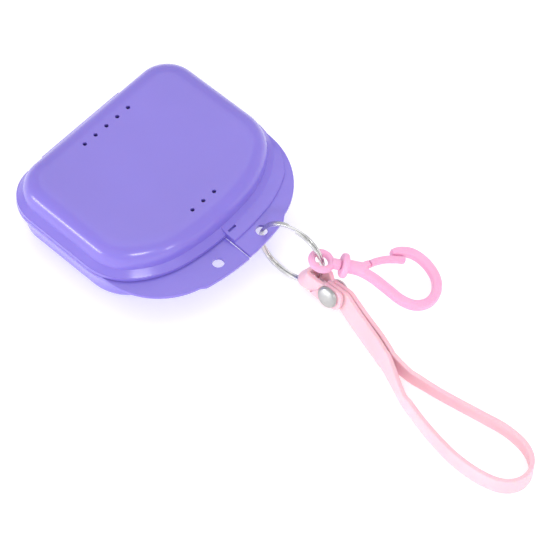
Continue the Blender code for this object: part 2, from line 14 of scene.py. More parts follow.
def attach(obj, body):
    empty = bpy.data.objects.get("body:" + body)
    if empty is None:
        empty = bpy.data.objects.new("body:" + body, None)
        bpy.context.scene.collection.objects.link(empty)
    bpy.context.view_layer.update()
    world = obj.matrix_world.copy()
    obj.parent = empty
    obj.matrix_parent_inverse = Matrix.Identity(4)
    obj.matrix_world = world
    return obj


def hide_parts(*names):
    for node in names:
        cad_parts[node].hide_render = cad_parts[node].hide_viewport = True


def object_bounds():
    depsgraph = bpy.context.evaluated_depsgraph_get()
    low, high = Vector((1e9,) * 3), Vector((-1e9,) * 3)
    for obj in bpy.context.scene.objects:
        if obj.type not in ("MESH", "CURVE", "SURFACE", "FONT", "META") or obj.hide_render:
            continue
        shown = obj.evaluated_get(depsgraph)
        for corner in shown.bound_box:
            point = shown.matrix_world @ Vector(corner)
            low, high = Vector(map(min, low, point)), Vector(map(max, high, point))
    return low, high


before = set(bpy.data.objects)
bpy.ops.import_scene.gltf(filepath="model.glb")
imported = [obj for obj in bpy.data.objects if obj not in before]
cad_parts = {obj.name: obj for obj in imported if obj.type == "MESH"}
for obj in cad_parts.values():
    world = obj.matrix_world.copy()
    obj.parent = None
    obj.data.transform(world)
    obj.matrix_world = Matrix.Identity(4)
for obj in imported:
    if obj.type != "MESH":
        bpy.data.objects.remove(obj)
cad_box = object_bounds()

MM = 0.001
GAP = 0.3

# Case plan outline at the parting line, from the middle of the rear wall clockwise to the middle
# of the front: (kind, length or radius, turn in degrees, steps).
REAR_Y = 34.0
OUTLINE = (
    ("line", 26.5, 0, 8),
    ("arc", 14.0, 89, 18),
    ("line", 27.2, 0, 8),
    ("arc", 20.0, 51, 14),
    ("arc", 36.3, 30, 12),
    ("arc", 96.0, 10, 10),
)

# Case heights and walls.
PARTING_Z = 16.0
LID_TOP_Z = 28.0
WALL = 1.6
RIM_LIP = 0.25
UPSTAND_HEIGHT = 1.9
UPSTAND_THICKNESS = 1.2
BASE_TAPER = 2.9
BASE_FILLET = 6.0
LID_TAPER = 2.0
LID_FILLET = 8.0
PLATE_MARGIN = 0.8
CROWN_POWER = 0.82
EDGE_R = 0.35

# The crescent flange at the front, split at X = 0 into the base's tab and the lid's tab.
FLANGE_FRONT_Y = -43.7
FLANGE_FRONT_R = 85.0
FLANGE_CORNER_R = 26.7
FLANGE_CORNER = (13.6, -14.4)
TAB_THICKNESS = 1.4
TAB_SPLIT = 0.15
TAB_SPLIT_FAR = 0.25
LID_TAB_DROP = 1.2
LEDGE_WIDTH = 4.4
LEDGE_RISE = 1.0
LID_TAB_HOLE = (10.3, -39.3)
BASE_TAB_HOLE = (-8.9, -37.5)
TAB_HOLE_R = 2.1
# Slot beside the split: x, y, length, width, depth.
LATCH_SLOT = (3.1, -32.5, 3.6, 0.9, 1.0)

# Vent holes in the lid top.
VENT_R = 0.7
VENT_PITCH = 5.25
VENT_ROWS = ((5, 23.0), (3, -22.1))

# Hinge.
HINGE_Y = 34.9
HINGE_Z = 12.6
HINGE_R = 1.4
BARREL_HALF = 18.6
EAR_INNER = 19.0
EAR_OUTER = 22.8
PEG_R = 0.65
PEG_LENGTH = 2.9
PEG_BORE_R = 0.95
APRON_INNER_Y = REAR_Y + 0.5
APRON_OUTER_Y = REAR_Y + 1.6
APRON_TOP_Z = PARTING_Z + 2.3

# Mouthguard.
GUARD_FLOOR_Z = WALL + GAP
ARCH_HALF_WIDTH = 25.0
ARCH_DEPTH = 25.0
ARCH_CENTRE_Y = 7.0
ARCH_LEG_Y = 20.5
GUARD_FRONT_HEIGHT = 15.0
GUARD_REAR_HEIGHT = 11.0
FRENUM_NOTCH = 3.0

# Split ring.
RING_R = 12.3
RING_CENTRE = Vector((12.34, -51.39, 13.83))
RING_NORMAL = Vector((-0.983, -0.172, 0.064)).normalized()
WIRE_WIDTH = 0.85
WIRE_DEPTH = 1.15
TURN_PITCH = 1.0
WIRE_START = 100.0
WIRE_SWEEP = 704.0
WIRE_STEPS = 360

# Snap hook.
HOOK_ANGLE = 17.0
HOOK_YAW = -47.0
HOOK_PITCH = -18.4
EYE_R = 3.5
EYE_WIRE_R = 1.2
PIN_R = 1.0
PIN_HEAD_R = 1.35
PIN_END = 13.0
COLLAR_START = 6.9
COLLAR_END = 9.1
COLLAR_R = 4.3
NECK_R = 2.4
NECK_END = 14.6
HOOK_BAND = 3.5
HOOK_THICKNESS = 3.2
GATE_BAND = 2.2
LOOP_ROUTE = (
    (12.5, -0.6), (15.5, -1.5), (19.0, -3.2), (23.5, -6.3), (28.5, -9.6), (33.5, -10.5),
    (38.1, -8.1), (40.7, -3.1), (40.4, 2.4), (37.2, 7.4), (32.5, 10.4), (27.8, 10.3), (24.6, 9.0),
)
GATE_ROUTE = ((17.1, 2.8), (19.6, 4.4), (22.8, 5.9), (26.2, 6.7), (29.4, 7.1))
GATE_ROOT_ROUTE = ((12.0, 0.7), (14.4, 1.2), (16.78, 2.6))

# Wrist strap and rivet.
STRAP_WIDTH = 7.6
STRAP_THICKNESS = 1.6
LAYER = STRAP_THICKNESS + GAP
STRAP_END_R = 2.6
STRAP_EDGE_R = 0.55
STRAP_ANGLE = -33.0
RIVET_MIDDLE = Vector((13.55, -69.3, 5.8))
RIVET_ALONG = Vector((0.05, -0.999, 0.0)).normalized()
RIVET_LEAN = 20.0
FOLD_WIDTH = Vector((0.12, -0.53, 0.84)).normalized()
FOLD_POCKET = 2.6
FOLD_BACK = 1.75
FOLD_MOUTH = 4.0
RIVET_CAP_R = 3.9
RIVET_POST_R = 1.3
RIVET_HOLE_R = 1.65
# Middle of the doubled strap: (x, y, z, lean of both arms and extra lean of the left arm, degrees).
DOUBLE_ROUTE = (
    (12.7, -83.3, 4.1, 15, 6), (10.2, -93.3, 4.1, 10, 12), (7.4, -102.3, 4.1, 4, 12),
)
# Middle of the single band round the loop, from the right arm to the left arm: (x, y, z, lean).
LOOP_BAND = (
    (7.7, -110.3, 4.05, -4), (9.2, -123.5, 4.05, -9), (12.1, -140.0, 4.05, -9),
    (13.5, -149.7, 4.05, -6), (12.4, -159.3, 4.05, 0), (8.2, -165.5, 4.05, 5),
    (1.8, -167.2, 4.05, 5), (-3.6, -163.6, 4.05, 3), (-6.4, -155.3, 4.05, 0),
    (-6.8, -143.3, 4.05, -2), (-4.4, -128.6, 4.05, -2), (-0.6, -114.7, 4.05, 0),
)

# Camera: where it stands round the object, and the point of the floor plane it looks at.
CAMERA_AZIMUTH = -46.5
CAMERA_ELEVATION = 54.6
CAMERA_TARGET = Vector((8.68, -47.05, 0.0)) * MM
CAMERA_LENS = 1000.0
VIEW_WIDTH = 0.1852

# Floor: its half width in metres and how strongly it glows.
FLOOR_REACH = 3.0
FLOOR_GLOW = 0.32

# Colours, linear.
VIOLET = (0.222, 0.168, 0.648)
HOOK_PINK = (0.87, 0.425, 0.65)
STRAP_PINK = (0.85, 0.52, 0.60)


# ---------------------------------------------------------------- materials


class Finish:
    """A Principled material whose colour, roughness and relief come from procedural nodes."""

    def __init__(self, name, roughness, metallic=0.0, **sockets):
        self.material = bpy.data.materials.new(name)
        self.material.use_nodes = True
        self.tree = self.material.node_tree
        self.shader = self.tree.nodes["Principled BSDF"]
        self.shader.inputs["Roughness"].default_value = roughness
        self.shader.inputs["Metallic"].default_value = metallic
        for socket, value in sockets.items():
            self.shader.inputs[socket.replace("_", " ")].default_value = value
        self.place = self.tree.nodes.new("ShaderNodeTexCoord").outputs["Object"]
        self.relief = None

    def noise(self, size, detail=3.0):
        """Noise whose grains are about size metres across."""
        node = self.tree.nodes.new("ShaderNodeTexNoise")
        node.inputs["Scale"].default_value = 1.0 / size
        node.inputs["Detail"].default_value = detail
        self.tree.links.new(self.place, node.inputs["Vector"])
        return node.outputs["Fac"]

    def ramp(self, value, stops):
        node = self.tree.nodes.new("ShaderNodeValToRGB")
        node.color_ramp.elements[0].position = stops[0][0]
        node.color_ramp.elements[0].color = (*stops[0][1], 1.0)
        node.color_ramp.elements[1].position = stops[-1][0]
        node.color_ramp.elements[1].color = (*stops[-1][1], 1.0)
        for position, colour in stops[1:-1]:
            node.color_ramp.elements.new(position).color = (*colour, 1.0)
        self.tree.links.new(value, node.inputs["Fac"])
        return node.outputs["Color"]

    def span(self, value, low, high):
        node = self.tree.nodes.new("ShaderNodeMapRange")
        node.inputs["From Min"].default_value = 0.3
        node.inputs["From Max"].default_value = 0.7
        node.inputs["To Min"].default_value = low
        node.inputs["To Max"].default_value = high
        self.tree.links.new(value, node.inputs["Value"])
        return node.outputs["Result"]

    def colour(self, value):
        self.tree.links.new(value, self.shader.inputs["Base Color"])

    def roughness(self, value):
        self.tree.links.new(value, self.shader.inputs["Roughness"])

    def bump(self, height, strength, distance):
        node = self.tree.nodes.new("ShaderNodeBump")
        node.inputs["Strength"].default_value = strength
        node.inputs["Distance"].default_value = distance
        self.tree.links.new(height, node.inputs["Height"])
        if self.relief:
            self.tree.links.new(self.relief, node.inputs["Normal"])
        self.relief = node.outputs["Normal"]
        self.tree.links.new(self.relief, self.shader.inputs["Normal"])


def violet_plastic(name, shade):
    """Glossy moulded polypropylene: a slight orange peel, faint scuffs and flow clouds."""
    made = Finish(name, 0.24, IOR=1.49, Subsurface_Weight=0.12, Subsurface_Scale=0.0012,
                  Coat_Weight=0.25, Coat_Roughness=0.09)
    base = Vector(VIOLET) * shade
    cloud = made.ramp(made.noise(0.035, 2.0), ((0.3, base * 0.965), (0.7, base * 1.03)))
    made.colour(cloud)
    made.roughness(made.span(made.noise(0.02, 3.0), 0.23, 0.27))
    made.bump(made.noise(0.009, 1.0), 0.05, 0.0001)
    made.bump(made.noise(0.00022, 2.0), 0.10, 0.00002)
    return made.material


def hook_plastic(name, shade):
    """Satin acetal with a fine moulded grain."""
    made = Finish(name, 0.38, IOR=1.48, Subsurface_Weight=0.25, Subsurface_Scale=0.002)
    base = Vector(HOOK_PINK) * shade
    made.colour(made.ramp(made.noise(0.008, 3.0), ((0.3, base * 0.96), (0.7, base * 1.02))))
    made.roughness(made.span(made.noise(0.0016, 3.0), 0.33, 0.46))
    made.bump(made.noise(0.0009, 3.0), 0.12, 0.00008)
    return made.material


def strap_silicone():
    """Matt silicone with a dusty bloom and a very fine grain."""
    made = Finish("strap_silicone", 0.55, IOR=1.43, Subsurface_Weight=0.35, Subsurface_Scale=0.0025,
                  Sheen_Weight=0.12, Sheen_Roughness=0.5)
    made.colour(made.ramp(made.noise(0.011, 4.0), (
        (0.28, Vector(STRAP_PINK) * 0.955),
        (0.5, Vector(STRAP_PINK)),
        (0.72, Vector(STRAP_PINK) * 1.02),
    )))
    made.roughness(made.span(made.noise(0.003, 3.0), 0.50, 0.64))
    made.bump(made.noise(0.00045, 3.0), 0.16, 0.00005)
    return made.material


def guard_eva():
    """Milky mouthguard sheet, softened and pressed over teeth."""
    made = Finish("guard_eva", 0.3, IOR=1.48, Subsurface_Weight=0.6, Subsurface_Scale=0.004,
                  Coat_Weight=0.3, Coat_Roughness=0.15)
    made.colour(made.ramp(made.noise(0.012, 3.0), (
        (0.3, (0.72, 0.80, 0.88)), (0.7, (0.86, 0.90, 0.95)))))
    made.roughness(made.span(made.noise(0.004, 3.0), 0.22, 0.40))
    made.bump(made.noise(0.0035, 3.0), 0.35, 0.0003)
    return made.material


def nickel_steel(name, tone, rough):
    """Nickel-plated steel with drawing lines and a few dull patches."""
    made = Finish(name, rough, 1.0)
    wear = made.noise(0.004, 5.0)
    made.colour(made.ramp(wear, (
        (0.3, Vector((0.93, 0.94, 0.96)) * tone * 0.86), (0.6, Vector((1.0, 0.99, 0.97)) * tone))))
    made.roughness(made.span(made.noise(0.0012, 4.0), rough * 0.75, rough * 1.5))
    made.bump(made.noise(0.0004, 4.0), 0.12, 0.00003)
    return made.material


# ---------------------------------------------------------------- mesh helpers


def mesh_object(name, points, faces, look=None):
    mesh = bpy.data.meshes.new(name)
    mesh.from_pydata([Vector(p) * MM for p in points], [], faces)
    mesh.update()
    made = bpy.data.objects.new(name, mesh)
    bpy.context.collection.objects.link(made)
    if look:
        mesh.materials.append(look)
    return made


def skin(sections, closed=False, first=0):
    """Quads between successive loops of points; end loops are capped unless the body is closed."""
    count = len(sections[0])
    points = [p for section in sections for p in section]
    faces = []
    last = len(sections) if closed else len(sections) - 1
    for i in range(last):
        a, b = i * count, (i + 1) % len(sections) * count
        for k in range(count):
            n = (k + 1) % count
            faces.append((first + a + k, first + a + n, first + b + n, first + b + k))
    if not closed:
        faces.append(tuple(first + k for k in reversed(range(count))))
        faces.append(tuple(first + (len(sections) - 1) * count + k for k in range(count)))
    return points, faces


def solid(name, sections, look=None, closed=False):
    points, faces = skin(sections, closed)
    return mesh_object(name, points, faces, look)


def turned(start, axis, profile, sides=48):
    """Loops of a turned body: profile is (distance along the axis, radius) pairs."""
    axis = Vector(axis).normalized()
    across = axis.orthogonal().normalized()
    other = axis.cross(across)
    loops = []
    turns = [2 * math.pi * k / sides for k in range(sides)]
    for along, radius in profile:
        middle = Vector(start) + axis * along
        loops.append([middle + radius * (math.cos(t) * across + math.sin(t) * other)
                      for t in turns])
    return loops


def cylinder(start, end, radius, sides=48):
    reach = Vector(end) - Vector(start)
    return turned(start, reach, ((0.0, radius), (reach.length, radius)), sides)


def cut(target, tool, operation="DIFFERENCE"):
    step = target.modifiers.new(tool.name, "BOOLEAN")
    step.operation = operation
    step.object = tool


def settle(piece, helpers=(), sharp=35):
    """Applies a piece's modifiers, drops the helper objects they used and shades it smooth."""
    graph = bpy.context.evaluated_depsgraph_get()
    done = bpy.data.meshes.new_from_object(piece.evaluated_get(graph))
    piece.modifiers.clear()
    piece.data = done
    for helper in helpers:
        bpy.data.objects.remove(helper, do_unlink=True)
    done.shade_smooth()
    done.set_sharp_from_angle(angle=math.radians(sharp))
    return piece


def stand_for(piece, body, node):
    """The piece rides on a body in place of a CAD node, which it hides."""
    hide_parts(node)
    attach(piece, body)
    return piece


def smooth_line(points, steps):
    """A Catmull-Rom curve through the points, each a tuple of any length."""
    points = [Vector(p) for p in points]
    ends = [2 * points[0] - points[1], *points, 2 * points[-1] - points[-2]]
    line = []
    for i in range(1, len(ends) - 2):
        a, b, c, d = ends[i - 1 : i + 3]
        for k in range(steps):
            t = k / steps
            line.append(
                0.5 * (2 * b + (c - a) * t + (2 * a - 5 * b + 4 * c - d) * t**2
                       + (3 * b - a - 3 * c + d) * t**3)
            )
    line.append(points[-1])
    return line


def round_corners(corners, steps=3):
    """(a, b) points of a closed outline whose (a, b, radius) corners are rounded."""
    points = []
    for k, (x, y, radius) in enumerate(corners):
        here = Vector((x, y))
        if radius == 0:
            points.append(here)
            continue
        before = Vector(corners[k - 1][:2]) - here
        after = Vector(corners[(k + 1) % len(corners)][:2]) - here
        start = here + before.normalized() * min(radius, 0.45 * before.length)
        end = here + after.normalized() * min(radius, 0.45 * after.length)
        for n in range(steps + 1):
            t = n / steps
            points.append(start * (1 - t) ** 2 + here * 2 * t * (1 - t) + end * t**2)
    return points


# ---------------------------------------------------------------- case


def case_stations():
    """Points round the outline with their outward normals, split at X = 0 in the front."""
    x, y, turned_by = 0.0, REAR_Y, 0.0
    half = [(x, y, turned_by)]
    for kind, size, turn, steps in OUTLINE:
        for _ in range(steps):
            step = math.radians(turn) / steps
            length = size / steps if kind == "line" else 2 * size * math.sin(step / 2)
            heading = turned_by + step / 2
            x += length * math.cos(heading)
            y -= length * math.sin(heading)
            turned_by += step
            half.append((x, y, turned_by))
    half = [station for station in half if station[0] > 1.2 or station[1] > 0]
    half.append((TAB_SPLIT_FAR, y, math.pi))
    half.append((TAB_SPLIT, y, math.pi))
    right = [(Vector((px, py)), Vector((math.sin(h), math.cos(h)))) for px, py, h in half]
    left = [(Vector((-p.x, p.y)), Vector((-n.x, n.y))) for p, n in reversed(right[1:])]
    return right + left


def circle_hit(point, normal, centre, radius):
    away = point - Vector(centre)
    along = away.dot(normal)
    return -along + math.sqrt(max(0.0, along * along - away.length_squared + radius * radius))


def flange_reach(point, normal):
    """How far the crescent flange stands out from the wall at a station."""
    if point.y > 0:
        return RIM_LIP
    mirrored = Vector((abs(point.x), point.y))
    outward = Vector((abs(normal.x), normal.y))
    front_centre_y = FLANGE_FRONT_Y + FLANGE_FRONT_R
    front = circle_hit(mirrored, outward, (0, front_centre_y), FLANGE_FRONT_R)
    join_x = FLANGE_FRONT_R * FLANGE_CORNER[0] / (FLANGE_FRONT_R - FLANGE_CORNER_R)
    if (mirrored + outward * front).x < join_x:
        return front
    return max(RIM_LIP, circle_hit(mirrored, outward, FLANGE_CORNER, FLANGE_CORNER_R))


def fillet(inset, top, radius, direction, steps):
    """(inset, z, 0) points round a quarter turn from a wall into a flat face."""
    points = []
    for k in range(steps + 1):
        t = math.pi / 2 * k / steps
        points.append((inset + radius * (1 - math.cos(t)),
                       top - direction * radius * (1 - math.sin(t)), 0))
    return points


def crown(inset, top, radius, steps):
    """(inset, z, 0) points of the lid's outer corner, which runs into its top without an edge."""
    points = []
    for k in range(steps + 1):
        t = math.pi / 2 * k / steps
        points.append((inset + radius * (1 - math.cos(t) ** CROWN_POWER),
                       top - radius * (1 - math.sin(t) ** CROWN_POWER), 0))
    return points


def base_profile(point, normal):
    tab = flange_reach(point, normal) if point.x < -TAB_SPLIT_FAR + 0.01 else RIM_LIP
    under = PARTING_Z - TAB_THICKNESS
    floor_in = BASE_TAPER + BASE_FILLET
    upstand = WALL + GAP + UPSTAND_THICKNESS
    return round_corners([
        (floor_in + PLATE_MARGIN, 0.0, 0),
        *reversed(fillet(BASE_TAPER, 0.0, BASE_FILLET, -1, 12)),
        (0.25, under, EDGE_R),
        (-tab, under, EDGE_R),
        (-tab, PARTING_Z, EDGE_R),
        (WALL + GAP, PARTING_Z, 0.1),
        (WALL + GAP, PARTING_Z + UPSTAND_HEIGHT, EDGE_R),
        (upstand, PARTING_Z + UPSTAND_HEIGHT, EDGE_R),
        (upstand, PARTING_Z - 1.0, EDGE_R),
        *fillet(BASE_TAPER + WALL, WALL, BASE_FILLET - WALL, -1, 9),
        (floor_in + PLATE_MARGIN, WALL, 0),
    ])


def lid_profile(point, normal):
    bottom = PARTING_Z + GAP
    has_tab = point.x > TAB_SPLIT_FAR - 0.01
    tab = flange_reach(point, normal) if has_tab else RIM_LIP
    ledge = min(LEDGE_WIDTH, 0.6 * tab)
    drop = LID_TAB_DROP * min(1.0, tab / 12.0)
    rise = LEDGE_RISE * min(1.0, tab / 3.0)
    inner_edge = min(1.2, 0.5 * tab)
    tab_top = bottom + TAB_THICKNESS
    ceiling = LID_TOP_Z - WALL
    plate_in = LID_TAPER + LID_FILLET + PLATE_MARGIN
    return round_corners([
        (WALL, bottom + UPSTAND_HEIGHT + GAP, EDGE_R),
        (WALL, bottom, EDGE_R),
        (-inner_edge, bottom, 0),
        (-tab, bottom - drop, EDGE_R),
        (-tab, tab_top - drop, EDGE_R),
        (-ledge - 0.05, tab_top - drop * ledge / tab, 0.2),
        (-ledge, tab_top + rise - drop * ledge / tab, EDGE_R),
        (0.0, tab_top + rise, 0.3),
        *crown(LID_TAPER, LID_TOP_Z, LID_FILLET, 28),
        (plate_in, LID_TOP_Z, 0),
        (plate_in, ceiling, 0),
        *reversed(fillet(LID_TAPER + WALL, ceiling, LID_FILLET - WALL, 1, 12)),
    ])


def close_shell(name, profile, look, flat_z):
    """Lofts a profile round the outline and fills both sides of its flat plate at flat_z."""
    stations = case_stations()
    profiles = [profile(point, normal) for point, normal in stations]
    count = len(profiles[0])
    points, faces = [], []
    for (point, normal), line in zip(stations, profiles):
        points += [(*(point - normal * inset), z) for inset, z in line]
    total = len(stations)
    deepest = max(inset for inset, _ in profiles[0])
    rim = [k for k, (inset, _) in enumerate(profiles[0]) if abs(inset - deepest) < 1e-6]
    flat, under = sorted(rim, key=lambda k: abs(profiles[0][k][1] - flat_z))
    plate = {flat, under}
    for i in range(total):
        a, b = i * count, (i + 1) % total * count
        for k in range(count):
            n = (k + 1) % count
            if {k, n} != plate:
                faces.append((a + k, a + n, b + n, b + k))
    outside = tuple(i * count + flat for i in range(total))
    inside = tuple(i * count + under for i in range(total))
    faces_up = flat_z > WALL
    faces.append(tuple(reversed(outside)) if faces_up else outside)
    faces.append(inside if faces_up else tuple(reversed(inside)))
    return mesh_object(name, points, faces, look)


def ear_outline():
    """(y, z) points of a base ear: round the hinge axis, with a web into the base's wall."""
    outline = []
    for k in range(33):
        turn = math.pi * (-0.5 + 1.0 * k / 32)
        outline.append((HINGE_Y + HINGE_R * math.cos(turn), HINGE_Z + HINGE_R * math.sin(turn)))
    return outline + [(REAR_Y - 1.3, HINGE_Z + HINGE_R), (REAR_Y - 1.8, HINGE_Z - HINGE_R)]


def barrel_outline():
    """(y, z) points of the lid's barrel, with an apron from the hinge axis up to the rim."""
    corners = []
    for k in range(33):
        turn = math.pi * (-1.45 + 1.55 * k / 32)
        corners.append((HINGE_Y + HINGE_R * math.cos(turn), HINGE_Z + HINGE_R * math.sin(turn), 0))
    return [tuple(point) for point in round_corners(corners + [
        (APRON_OUTER_Y, APRON_TOP_Z - 1.6, 0.6),
        (REAR_Y - 0.4, APRON_TOP_Z, 0),
        (REAR_Y - 0.8, APRON_TOP_Z - 0.5, 0),
        (REAR_Y - 0.8, PARTING_Z + GAP + 0.1, 0),
        (APRON_INNER_Y, PARTING_Z + GAP + 0.1, 0.3),
    ])]


def knuckle(name, outline, start, end):
    """A bar along X with the outline as its section and softened ends."""
    soft = 0.25
    middle = sum((Vector(point) for point in outline), Vector((0, 0))) / len(outline)
    loops = []
    for x, shrink in ((start, soft), (start + soft, 0), (end - soft, 0), (end, soft)):
        loop = []
        for point in outline:
            inwards = (middle - Vector(point)).normalized() * shrink
            loop.append((x, *(Vector(point) + inwards)))
        loops.append(loop)
    return solid(name, loops)


def tab_hole(name, place):
    x, y = place
    return solid(name, cylinder((x, y, PARTING_Z - 5), (x, y, PARTING_Z + 5), TAB_HOLE_R))


def hinge_rod(name, start, end, radius):
    """A round bar along the hinge axis."""
    return solid(name, cylinder((start, HINGE_Y, HINGE_Z), (end, HINGE_Y, HINGE_Z), radius))


def case_base(look):
    base = close_shell("base_shell", base_profile, look, 0.0)
    helpers = []
    for side in (-1, 1):
        ends = sorted((side * EAR_INNER, side * EAR_OUTER))
        ear = knuckle("ear", ear_outline(), *ends)
        cut(base, ear, "UNION")
        bore = hinge_rod("peg_bore", side * (EAR_INNER - 1), side * (EAR_INNER + PEG_LENGTH),
                         PEG_BORE_R)
        cut(base, bore)
        helpers += [ear, bore]
    hole = tab_hole("base_tab_hole", BASE_TAB_HOLE)
    cut(base, hole)
    settle(base, [*helpers, hole])
    return stand_for(base, "base", "case_base")


def vent_cutter():
    """Countersunk vent holes, all in one cutter."""
    points, faces = [], []
    profile = ((-2 * WALL, VENT_R), (-0.16, VENT_R), (0.02, VENT_R + 0.18), (1.0, VENT_R + 0.18))
    for count, y in VENT_ROWS:
        for k in range(count):
            x = (k - (count - 1) / 2) * VENT_PITCH
            loops = turned((x, y, LID_TOP_Z), (0, 0, 1), profile, 28)
            more, sides = skin(loops, first=len(points))
            points += more
            faces += sides
    return mesh_object("vent_cutter", points, faces)


def latch_recess():
    """A short slot between the lid's wall and the ledge, beside the split of the tabs."""
    x, y, length, width, depth = LATCH_SLOT
    top = PARTING_Z + GAP + TAB_THICKNESS + LEDGE_RISE
    outline = round_corners([
        (x - length / 2, y - width / 2, 0.3), (x + length / 2, y - width / 2 + 0.12, 0.3),
        (x + length / 2, y + width / 2 + 0.12, 0.3), (x - length / 2, y + width / 2, 0.3)])
    loops = [[(*point, z) for point in outline] for z in (top - depth, top + 1)]
    return solid("latch_recess", loops)


def case_lid(look):
    lid = close_shell("lid_shell", lid_profile, look, LID_TOP_Z)
    barrel = knuckle("barrel", barrel_outline(), -BARREL_HALF, BARREL_HALF)
    cut(lid, barrel, "UNION")
    helpers = [barrel]
    for side in (-1, 1):
        peg = hinge_rod("peg", side * (BARREL_HALF - 1), side * (BARREL_HALF + PEG_LENGTH), PEG_R)
        cut(lid, peg, "UNION")
        helpers.append(peg)
    hole = tab_hole("lid_tab_hole", LID_TAB_HOLE)
    for tool in (hole, latch_recess(), vent_cutter()):
        cut(lid, tool)
        helpers.append(tool)
    settle(lid, helpers)
    return stand_for(lid, "lid", "case_lid")


# ---------------------------------------------------------------- mouthguard


def guard_section(height, notch):
    """(outward, up) points of the channel that the teeth sit in."""
    inner = height - 5.0
    return [
        (-5.2, 0.0), (5.0, 0.0), (6.3, 1.6), (6.0, height - notch - 1.2),
        (5.0, height - notch), (3.6, height - notch - 0.8), (3.1, 4.0), (2.2, 3.2),
        (-2.8, 3.2), (-3.7, 4.0), (-4.1, inner - 0.7), (-4.9, inner), (-5.9, inner - 0.9),
        (-6.3, 1.4),
    ]


def mouthguard(look):
    stations = []
    for k in range(5):
        stations.append((Vector((ARCH_HALF_WIDTH, ARCH_LEG_Y - 2.4 * k)), Vector((1, 0))))
    for k in range(41):
        turn = math.pi * k / 40
        point = Vector((ARCH_HALF_WIDTH * math.cos(turn),
                        ARCH_CENTRE_Y - ARCH_DEPTH * math.sin(turn)))
        stations.append((point, Vector((math.cos(turn), -math.sin(turn)))))
    for k in reversed(range(5)):
        stations.append((Vector((-ARCH_HALF_WIDTH, ARCH_LEG_Y - 2.4 * k)), Vector((-1, 0))))
    sections = []
    for point, outward in stations:
        forward = max(0.0, min(1.0, (ARCH_LEG_Y - point.y) / 30.0))
        height = GUARD_REAR_HEIGHT + (GUARD_FRONT_HEIGHT - GUARD_REAR_HEIGHT) * forward
        notch = FRENUM_NOTCH * math.exp(-((point.x / 4.0) ** 2)) if point.y < 0 else 0.0
        section = guard_section(height, notch)
        sections.append([(*(point + outward * o), GUARD_FLOOR_Z + z) for o, z in section])
    guard = solid("mouthguard_eva", sections, look)
    smooth = guard.modifiers.new("round", "SUBSURF")
    smooth.levels = smooth.render_levels = 2
    settle(guard, sharp=80)
    return stand_for(guard, "guard", "mouthguard")


# ---------------------------------------------------------------- split ring


def ring_axes():
    forward = Vector((0, 0, 1)).cross(RING_NORMAL).normalized()
    if forward.y > 0:
        forward.negate()
    up = forward.cross(RING_NORMAL).normalized()
    if up.z < 0:
        up.negate()
    return forward, up


def on_ring(angle, radius=RING_R):
    """A point of the ring, its outward direction and its tangent, at degrees above the front."""
    forward, up = ring_axes()
    turn = math.radians(angle)
    out = math.cos(turn) * forward + math.sin(turn) * up
    tangent = -math.sin(turn) * forward + math.cos(turn) * up
    return RING_CENTRE + radius * out, out, tangent


def split_ring(look):
    """Two flat turns side by side, joined by a slanting step, with softened wire edges."""
    sections = []
    w, d = WIRE_WIDTH / 2, WIRE_DEPTH / 2
    outline = round_corners([(-w, -d, 0.3), (w, -d, 0.3), (w, d, 0.3), (-w, d, 0.3)], 3)
    for k in range(WIRE_STEPS + 1):
        angle = WIRE_START + WIRE_SWEEP * k / WIRE_STEPS
        turns = (angle - WIRE_START) / 360.0
        step = max(-0.5, min(0.5, (turns - 1.0) * 5.0))
        middle, out, _ = on_ring(angle)
        middle = middle + RING_NORMAL * step * TURN_PITCH
        sections.append([middle + RING_NORMAL * a + out * b for a, b in outline])
    ring = settle(solid("ring_wire", sections, look), sharp=50)
    return stand_for(ring, "ring", "split_ring")


# ---------------------------------------------------------------- snap hook


def hook_frame():
    """Where the hook's own axes lie: X along it, Y across it and Z out of its plane."""
    middle, _, _ = on_ring(HOOK_ANGLE)
    turn = Matrix.Rotation(math.radians(HOOK_YAW), 4, "Z")
    tilt = Matrix.Rotation(math.radians(-HOOK_PITCH), 4, "Y")
    return Matrix.Translation(middle) @ turn @ tilt


def placed(loops):
    where = hook_frame()
    return [[where @ Vector(p) for p in loop] for loop in loops]


def flat_band(route, widths, thickness, softness):
    """Loops of a round-edged band lying in the hook's plane along route."""
    route = [Vector(p) for p in route]
    loops = []
    for i, point in enumerate(route):
        before, after = route[max(0, i - 1)], route[min(len(route) - 1, i + 1)]
        along = (after - before).normalized()
        across = Vector((-along.y, along.x))
        w, t, r = widths[i] / 2, thickness / 2, min(softness, widths[i] * 0.45)
        section = round_corners([(-w, t, r), (-w, -t, r), (w, -t, r), (w, t, r)], 5)
        loops.append([(*(point + across * a), b) for a, b in section])
    return loops


def blend_bodies(name, parts, voxel, rounds, look):
    """Fuses overlapping closed bodies into one moulding with soft inner corners."""
    points, faces = [], []
    for sections, closed in parts:
        more, sides = skin(placed(sections), closed, len(points))
        points += more
        faces += sides
    made = mesh_object(name, points, faces, look)
    fuse = made.modifiers.new("fuse", "REMESH")
    fuse.mode = "VOXEL"
    fuse.voxel_size = voxel * MM
    soften = made.modifiers.new("soften", "SMOOTH")
    soften.factor = 0.5
    soften.iterations = rounds
    return made


